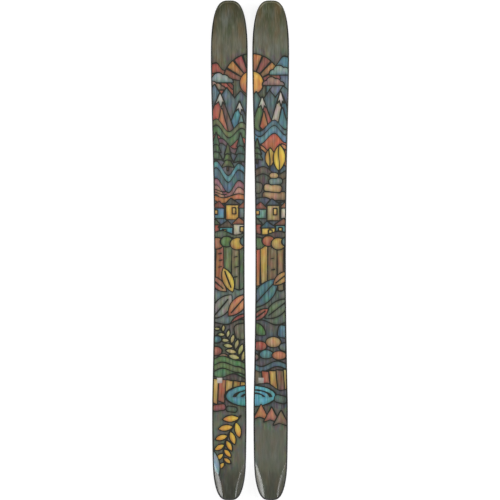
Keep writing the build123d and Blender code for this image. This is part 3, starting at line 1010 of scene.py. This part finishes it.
# ABS is cut with a planer along the ski, which leaves long dull scores; the spacers keep the fine
# spark-eroded skin of their mould.
sidewall = grained(
    "planed_abs_sidewall", "#1d1e1e", "#393a38", (1.2, 45, 0.8), (0.38, 0.58), 0.00005, IOR=1.54,
)
spacer = grained(
    "moulded_abs_spacer", "#2a2b2b", "#3f403f", (0.9, 0.9, 0.9), (0.5, 0.66), 0.00004, IOR=1.54,
)
print("plastics:", sidewall.name, spacer.name)

# %% [markdown]
# ## The layers inside
# Most of the sandwich is out of sight, but a cut or exploded view of the part shows it. Wood has long
# growth lines, the laminates a weave of glass at plus and minus 45 degrees, and the carbon strip lies
# in one direction. The alloy plate under the binding was sanded for the glue.

# %% Wood, rubber and alloy
# Poplar is pale and even, ash has coarser lines and deeper pores, both planed for the press.
planed = {"sheen": (0.55, 0.75), "relief": 0.0001, "IOR": 1.5}
poplar = grained("planed_poplar", "#c3a878", "#dcc79c", (5, 420, 5), pores=(0.8, 14, 0.8), **planed)
ash = grained("planed_ash", "#a67c4d", "#d3b483", (3, 420, 3), pores=(1.1, 14, 1.1), **planed)
# The rubber foil is dull with a chalky bloom, the alloy bright between the marks of the sanding belt.
rubber = grained(
    "thin_vulcanised_rubber", "#1b1b1b", "#333331", (2, 6, 2), (0.7, 0.85), 0.00002, IOR=1.52,
)
alloy = grained(
    "sanded_aluminium_alloy", "#9a9ca0", "#c2c3c4", (0.8, 26, 0.8), (0.34, 0.52), 0.00004, Metallic=1.0,
)
print("inner finishes:", poplar.name, ash.name, rubber.name, alloy.name)


# %% Glass and carbon cloth
def woven(name, thread, light, dark, turn, roughness):
    """A cloth set in clear resin: two waves at right angles, each thread wide, turned in plan."""
    cloth, node, place = blank(name)
    turned = node(FIT, Vector=place, Rotation=(0, 0, np.radians(turn)))
    both_ways = [
        node(
            WAVE, {"bands_direction": way, "wave_profile": "SIN"},
            Vector=turned, Scale=2 * np.pi / (20 * thread * MM), Distortion=0.3, Detail=1.0,
        ).outputs["Fac"]
        for way in "XY"
    ]
    weave = node(MATH, TIMES, _0=both_ways[0], _1=both_ways[1])
    tone = node(MIX, COLOURS, Factor=weave, A=rgba(dark), B=rgba(light))
    relief = node(BUMP, Strength=0.4, Distance=0.0001, Height=weave)
    shader = node(PLASTIC, Base_Color=tone, Normal=relief, Roughness=roughness, IOR=1.55)
    node(OUTPUT, Surface=shader)
    return cloth


# Glass roving is 2.4 mm wide and shows green through the resin; carbon tow is 1.8 mm wide and black.
glass = woven("triaxial_glass_in_epoxy", 2.4, "#8d937b", "#5d6450", 45, 0.3)
carbon = woven("carbon_tape_in_epoxy", 1.8, "#34363a", "#121315", 0, 0.28)
print("cloths:", glass.name, carbon.name)

# %% Give the CAD layers their finish
finishes = {
    "base": sintered, "outer_edge": edge_steel, "inner_edge": edge_steel, "edge_foils": rubber,
    "lower_laminate": glass, "upper_laminate": glass, "outer_sidewall": sidewall, "inner_sidewall": sidewall,
    "poplar_strips": poplar, "ash_strips": ash, "tip_spacer": spacer, "tail_spacer": spacer,
    "binding_plate": alloy, "carbon_strip": carbon,
}
for ski in SKIS:
    for layer, material in finishes.items():
        mesh = frame["nodes"][f"{ski}_{layer}"].data
        mesh.materials.clear()
        mesh.materials.append(material)
print("CAD layers with a finish:", len(finishes) * len(SKIS))

# %% [markdown]
# ## Floor, light and camera
# The skis lie on a white studio sweep, a wide floor that curves up far away, so that every view sees
# white behind them. Its own faint glow, for the eye and for mirrors and glass alone, makes it white
# without more light on the skis, and its matt part keeps their shadow. A printed sheet is glossy, and
# the flanks of both ends face sideways like shallow mirrors. Long soft lamps stand low at the sides,
# where the level sheet throws their glare away from the camera; two lamps over the tails are placed
# where only the flanks reflect them.

# %% Floor
# Rings of the sweep: how far out and how high each is, in metres. Faces span 5 degrees.
profile = [(1, 0), (20, 0), (40, 0), (52, 2), (58, 6), (60, 12), (60, 20)]
ring, height = np.array(profile, float).T
turn = np.radians(np.arange(0, 360, 5))
plan = [np.outer(ring, wave(turn)) for wave in (np.cos, np.sin)]
grid = np.stack([*plan, height[:, None] + 0 * turn], axis=-1)
index = np.arange(grid[..., 0].size).reshape(len(ring), -1)
index = np.concatenate([index, index[:, :1]], axis=1)
faces = [index[0, :-1].tolist(), *grid_quads(index)[:, ::-1].tolist()]
floor_mesh = bpy.data.meshes.new("floor")
floor_mesh.from_pydata(grid.reshape(-1, 3).tolist(), [], faces)
floor = bpy.data.objects.new("floor", floor_mesh)
bpy.context.scene.collection.objects.link(floor)
print("floor faces:", len(floor_mesh.polygons))

# %% White paper
PAPER_GLOW = 0.84
sweep, node, _ = blank("white_studio_sweep")
rays = node("ShaderNodeLightPath").outputs
seen = node(MATH, MOST, _0=rays["Is Camera Ray"], _1=rays["Is Glossy Ray"])
seen = node(MATH, MOST, _0=seen, _1=rays["Is Transmission Ray"])
glow = node(MATH, TIMES, _0=seen, _1=PAPER_GLOW)
matt = node("ShaderNodeBsdfDiffuse", Color=rgba("#959595"))
paper = node("ShaderNodeEmission", Color=rgba("#ffffff"), Strength=glow)
both_parts = node("ShaderNodeAddShader", _0=matt, _1=paper)
node(OUTPUT, Surface=both_parts)
floor_mesh.materials.append(sweep)
print("paper nodes:", len(sweep.node_tree.nodes))

# %% World
SKY = 0.20
scene = bpy.context.scene
scene.view_settings.view_transform = "Standard"
world = bpy.data.worlds.new("studio_sky")
scene.world = world
world.use_nodes = True
world.node_tree.nodes.clear()
sky = add(world, "ShaderNodeBackground", Color=rgba("#ffffff"), Strength=SKY)
add(world, "ShaderNodeOutputWorld", Surface=sky)
print("sky strength:", sky.inputs["Strength"].default_value)


# %% Lamps
def lamp(name, place, target, size, power):
    """A soft box at a place, turned to a target, as wide and long as given."""
    data = bpy.data.lights.new(name, "AREA")
    data.shape, data.size, data.size_y, data.energy = "RECTANGLE", *size, power
    thing = bpy.data.objects.new(name, data)
    scene.collection.objects.link(thing)
    place, target = np.array(place, float), np.array(target, float)
    back = (place - target) / np.linalg.norm(place - target)
    side = np.cross((0, 1, 0), back)
    side /= np.linalg.norm(side)
    matrix = np.eye(4)
    matrix[:3, 0], matrix[:3, 1], matrix[:3, 2], matrix[:3, 3] = side, np.cross(back, side), back, place
    thing.matrix_world = matrix.T.tolist()  # Blender takes the columns one by one.
    print(name, "of", power, "W at", place)


TAILS = (0.0, -0.86, 0.03)
lamp("key_left", (-2.1, 0.0, 2.0), (0, 0, 0), (1.2, 3.2), 41)
lamp("key_right", (2.1, 0.0, 2.0), (0, 0, 0), (1.2, 3.2), 41)
lamp("flank_glow", (1.45, 1.0, 4.0), TAILS, (0.95, 1.2), 35)
lamp("crease_line", (-0.95, 1.27, 4.0), TAILS, (0.3, 0.8), 16)

# %% Camera
# The view spans FIELD metres at the height of the raised ends, which is END_LEVEL.
VIEW_HEIGHT, FIELD, END_LEVEL, SENSOR, SIGHT = 14.0, 1.7952, 0.055, 36.0, 200.0
camera = bpy.data.objects.new("camera", bpy.data.cameras.new("camera"))
scene.collection.objects.link(camera)
camera.location = (0, 0.0018, VIEW_HEIGHT)
camera.data.sensor_width = SENSOR
camera.data.lens = SENSOR * (VIEW_HEIGHT - END_LEVEL) / FIELD
camera.data.clip_end = SIGHT
scene.camera = camera
print("lens, mm:", camera.data.lens)
